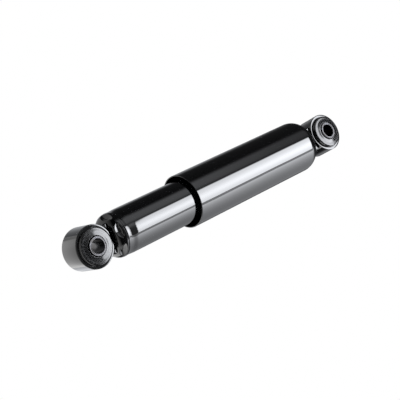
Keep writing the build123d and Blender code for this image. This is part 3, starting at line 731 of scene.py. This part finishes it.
# Nuts and bolt: phosphated, so they are dark and dull.
dark_steel = coaxial_steel("phosphated_steel", (0.16, 0.16, 0.165), 0.5, pitch=0.6 * mm, depth=8e-6, oil=0.6)
dress_nodes(dark_steel, "foot_valve_bolt", "foot_valve_nut", "piston_nut")

# Guide bush: a wrapped strip lined with sintered bronze.
bush_bronze = coaxial_steel("lining_bronze", (0.45, 0.30, 0.14), 0.32, pitch=0.5 * mm, depth=5e-6, oil=0.5)
dress_nodes(bush_bronze, "guide_bush")


# Piston, rod guide and foot valve body: pressed and sintered iron powder, grey with open pores.
def sintered_pores_group():
    """Surface of sintered iron: small dark pits where a cell pattern comes near its centres."""
    tree, given = finish_group(
        "sintered_pores",
        ("Colour", "Color", (0.2, 0.2, 0.2, 1)),
        ("Roughness", "Float", 0.5),
        ("Pore Size", "Float", 0.0004),
    )
    pit_black, pit_dullness, pit_depth = (0.015, 0.014, 0.013, 1), 0.3, 0.00004
    where = add_node(tree, "TexCoord").outputs["Object"]
    scale = add_maths(tree, "DIVIDE", 1.0, given.outputs["Pore Size"])
    cells = add_node(tree, "TexVoronoi", {"Vector": where, "Scale": scale})
    pit = add_ramp(tree, cells.outputs["Distance"], 0.28, 0.12)
    cloud = add_node(tree, "TexNoise", {"Vector": where, "Scale": 160.0, "Detail": 3.0}).outputs[0]
    shade = add_ramp(tree, cloud, 0.3, 0.7, 0.8, 1.15)
    toned = add_node(tree, "VectorMath", {0: given.outputs["Colour"], "Scale": shade}, operation="SCALE")
    colour = add_blend(tree, pit, toned.outputs[0], pit_black)
    duller = add_maths(tree, "MULTIPLY", pit, pit_dullness)
    rough = add_maths(tree, "ADD", given.outputs["Roughness"], duller)
    return put_out(tree, colour, rough, add_bump(tree, add_maths(tree, "SUBTRACT", 1.0, pit), pit_depth))


sintered_iron, tree, shader = new_material("sintered_iron", Metallic=0.85)
finished_with(tree, shader, sintered_pores_group(), {"Colour": (0.24, 0.235, 0.23, 1), "Roughness": 0.42})
dress_nodes(sintered_iron, "piston", "rod_guide", "foot_valve_body")

# Seals, piston band and bumper: nitrile rubber, filled fluoropolymer and a hard pale plastic.
for name, colour, roughness, grain, nodes in (
    ("nitrile", (0.02, 0.02, 0.02, 1), 0.42, 0.0004, ("guide_o_ring", "rod_seal")),
    ("band_plastic", (0.09, 0.09, 0.08, 1), 0.5, 0.0003, ("piston_ring",)),
    ("bumper_plastic", (0.6, 0.58, 0.5, 1), 0.38, 0.0009, ("rebound_bumper",)),
):
    material, tree, shader = new_material(name)
    values = {"Colour": colour, "Roughness": roughness, "Grain Size": grain}
    finished_with(tree, shader, moulded_skin, values)
    dress_nodes(material, *nodes)

# Floor: a wide pale sheet that the lower eye stands on, and that turns white far away. It is
# one-sided, because the photograph was taken from below the eye's level, so from underneath it
# lets everything through. In reflections alone a painted pool of light, a glow that is no lamp, lies
# on it behind the object, weaker to the left; in front of the object it is painted nearly black.
floor_gap = 0.0002
floor_radius = 6.0
floor_columns = 96
floor_colour = (0.6, 0.6, 0.6, 1)
white_from = 0.45
white_to = 1.1
toward_view = (-0.15, -0.99, 0.0)
toward_right = (0.99, -0.15, 0.0)
pool_front, pool_front_levels = (-0.03, 0.06), (1.6, 0.03)
pool_left, pool_left_levels = (-0.06, -0.015), (0.3, 1.0)


def floor_material():
    """Matt sheet, which is white to the camera far away. Mirror rays see the painted pool of light
    alone, and from behind it is clear."""
    matt = {"Base_Color": floor_colour, "Roughness": 0.9, "Specular_IOR_Level": 0.2}
    material, tree, shader = new_material("floor_sheet", **matt)
    where = add_node(tree, "TexCoord").outputs["Object"]
    distance = add_node(tree, "VectorMath", {0: where}, operation="LENGTH").outputs["Value"]
    far = add_ramp(tree, distance, white_from, white_to, interpolation_type="SMOOTHSTEP")
    ramps = []
    for way, edge, levels in (
        (toward_view, pool_front, pool_front_levels),
        (toward_right, pool_left, pool_left_levels),
    ):
        place = add_node(tree, "VectorMath", {0: where, 1: way}, operation="DOT_PRODUCT").outputs["Value"]
        ramps.append(add_ramp(tree, place, *edge, *levels))
    # Painted pool of light: an emission that only mirror rays see. It is bright behind the object, weaker to
    # the left and nearly black in front.
    painted_pool = add_node(tree, "Emission", {"Strength": add_maths(tree, "MULTIPLY", *ramps)}).outputs[0]
    white = add_node(tree, "Emission", {"Strength": 1.0}).outputs[0]
    clear = add_node(tree, "BsdfTransparent").outputs[0]
    path = add_node(tree, "LightPath").outputs
    seen = add_maths(tree, "MAXIMUM", path["Is Camera Ray"], path["Is Transmission Ray"])
    behind = add_node(tree, "NewGeometry").outputs["Backfacing"]
    sheet = shader.outputs[0]
    for share, other in (
        (add_maths(tree, "MULTIPLY", seen, far), white),
        (path["Is Glossy Ray"], painted_pool),
        (behind, clear),
    ):
        sheet = add_node(tree, "MixShader", {0: share, 1: sheet, 2: other}).outputs[0]
    tree.links.new(sheet, tree.nodes["Material Output"].inputs["Surface"])
    return material


floor_rows = np.array((0.0, 0.5, 2.0, floor_radius))[:, None]
floor_points = carried_round(floor_rows, cad_low.z - floor_gap, round_angles(floor_columns), axis_axes)
floor = surface("floor", floor_points, wrap=(False, True))
if floor.data.polygons[0].normal.z < 0:
    floor.data.flip_normals()
floor.data.materials.append(floor_material())

# Studio: curved panels of a light tent round the object. Each one's glow is worked out on its own
# grid. The key panel holds the softbox, and two dark panels keep the white world out of the
# paint's reflections. Azimuths are in degrees from the photograph's view, and elevations from the
# object's middle. A dim glow is left everywhere.
tent_radius = 4.0
view_azimuth = np.radians(-98.6)
tent_foot = -3.5
tent_shoulder = 64
tent_top = 89
tent_colour = (0.965, 0.985, 1.03, 1)
dim_glow = 0.03
cells_per_degree = 2
centre = (np.array(cad_low) + np.array(cad_high)) / 2


def panel(name, azimuths, elevations, glow):
    """Part of a sphere round the object between two azimuths and two elevations, in degrees.
    Its glow is a function of both, and is kept as an attribute for its shader."""
    turn = np.linspace(*azimuths, 1 + int(azimuths[1] - azimuths[0]) * cells_per_degree)[None]
    lift = np.linspace(*elevations, 1 + int(elevations[1] - elevations[0]) * cells_per_degree)[:, None]
    reach, height = tent_radius * np.cos(np.radians(lift)), tent_radius * np.sin(np.radians(lift))
    points = carried_round(reach, height, view_azimuth + np.radians(turn), (centre, *axis_axes[1:]))
    sheet = surface(name, points, wrap=(False, False))
    values = glow(turn, lift) * np.ones(np.broadcast_shapes(turn.shape, lift.shape))
    shown = sheet.data.attributes.new("glow", "FLOAT", "POINT")
    shown.data.foreach_set("value", values.ravel().astype(np.float32))
    material = bpy.data.materials.new(name)
    material.use_nodes = True
    tree = material.node_tree
    tree.nodes.remove(tree.nodes["Principled BSDF"])
    strength = add_node(tree, "Attribute", attribute_name="glow").outputs["Fac"]
    light = add_node(tree, "Emission", {"Color": tent_colour, "Strength": strength})
    tree.links.new(light.outputs[0], tree.nodes["Material Output"].inputs["Surface"])
    sheet.data.materials.append(material)
    sheet.visible_camera = False
    sheet.visible_shadow = False
    return sheet


def hump(x, low, high, soft):
    """1 between low and high, falling to 0 over a soft edge outside them."""
    return 1 / (1 + np.exp((low - x) / soft)) / (1 + np.exp((x - high) / soft))


def bell(x, middle, width):
    """Gaussian, exp(-((x - middle) / width)^2)."""
    return np.exp(-(((x - middle) / width) ** 2))


def key_glow(azimuth, elevation):
    """Softbox that the bright stripe mirrors, over a faint glow below it. It is brightest to the
    right of its middle, and its lower edge rises to the left and waves a little."""
    left, right, bottom, top, strength = -13.5, 60, 31.2, 49.6, 10.3
    strength = strength * (0.7 + 0.3 * bell(azimuth, 16, 15))
    bottom = bottom + 1.3 * np.clip(azimuth / left, 0, 1) + 0.15 * np.sin(azimuth / 2.2)
    softbox = strength * hump(elevation, bottom, top, 0.25) * hump(azimuth, left, right, 0.8)
    below = (0.15 + 0.7 * bell(azimuth, -8, 10)) * hump(elevation, 18, 31, 2)
    return 0.05 + below + softbox


def gap_glow(azimuth, elevation):
    """Strip between the softbox and the bright side."""
    return dim_glow + 1.67 * hump(elevation, 24, 57, 3)


def fill_glow(azimuth, elevation):
    """Broad light on the bright side, strongest beside the softbox. It fades down to the floor."""
    return dim_glow + (0.2 + 4.4 * np.exp(-(azimuth - 50) / 26)) * hump(elevation, 24, 57, 3)


def back_glow(azimuth, elevation):
    """Light from behind, strongest near the floor."""
    low = 0.9 * hump(elevation, -90, 22, 3) * hump(azimuth, 100, 192, 5)
    high = (0.12 + 0.3 * hump(azimuth, 185, 224, 5)) * hump(elevation, -90, 42, 3)
    return dim_glow + hump(azimuth, 100, 224, 5) * (low + high)


def rim_glow(azimuth, elevation):
    """Weak light on the dark side, fainter towards its top."""
    return dim_glow + (0.15 + 0.55 * hump(elevation, 3, 42, 3)) * hump(azimuth, -56, -20, 3)


for name, azimuths, glow in (
    ("key_panel", (-17, 40), key_glow),
    ("gap_panel", (40, 50), gap_glow),
    ("fill_panel", (50, 150), fill_glow),
    ("back_panel", (150, 240), back_glow),
    ("rim_panel", (-66, -17), rim_glow),
):
    panel(name, azimuths, (tent_foot, tent_shoulder), glow)
for name, azimuths, elevations in (
    ("dark_side", (240, 294), (tent_foot, tent_top)),
    ("dark_roof", (-66, 240), (tent_shoulder, tent_top)),
):
    dark = panel(name, azimuths, elevations, lambda azimuth, elevation: dim_glow)
    dark.visible_diffuse = False

# World: white to the camera and in reflections, and a low even light on matt surfaces.
ambient = 0.35
world = bpy.data.worlds.new("white_room")
bpy.context.scene.world = world
world.use_nodes = True
tree = world.node_tree
path = add_node(tree, "LightPath").outputs
seen = add_maths(tree, "MAXIMUM", path["Is Camera Ray"], path["Is Glossy Ray"])
seen = add_maths(tree, "MAXIMUM", seen, path["Is Transmission Ray"])
strength = add_ramp(tree, seen, 0.0, 1.0, ambient, 1.0)
set_sockets(tree, tree.nodes["Background"], {"Color": (1, 1, 1, 1), "Strength": strength})

# Camera: where the photograph was taken from, found from the ends and edges of the damper.
camera_place = (-0.16988, -1.12157, -0.69844)
camera_right = np.array((0.3483, -0.6217, 0.7016))
camera_up = np.array((-0.9293, -0.1308, 0.3454))
camera_data = bpy.data.cameras.new("camera")
camera_data.lens = 90
camera_data.sensor_width = 36
camera = bpy.data.objects.new("camera", camera_data)
bpy.context.scene.collection.objects.link(camera)
camera_back = np.cross(camera_right, camera_up)
camera_back /= np.linalg.norm(camera_back)
turned = np.stack([camera_right, camera_up, camera_back], 1)
camera.matrix_world = Matrix.Translation(camera_place) @ Matrix(turned.tolist()).to_4x4()
bpy.context.scene.camera = camera
bpy.context.scene.view_settings.view_transform = "Standard"
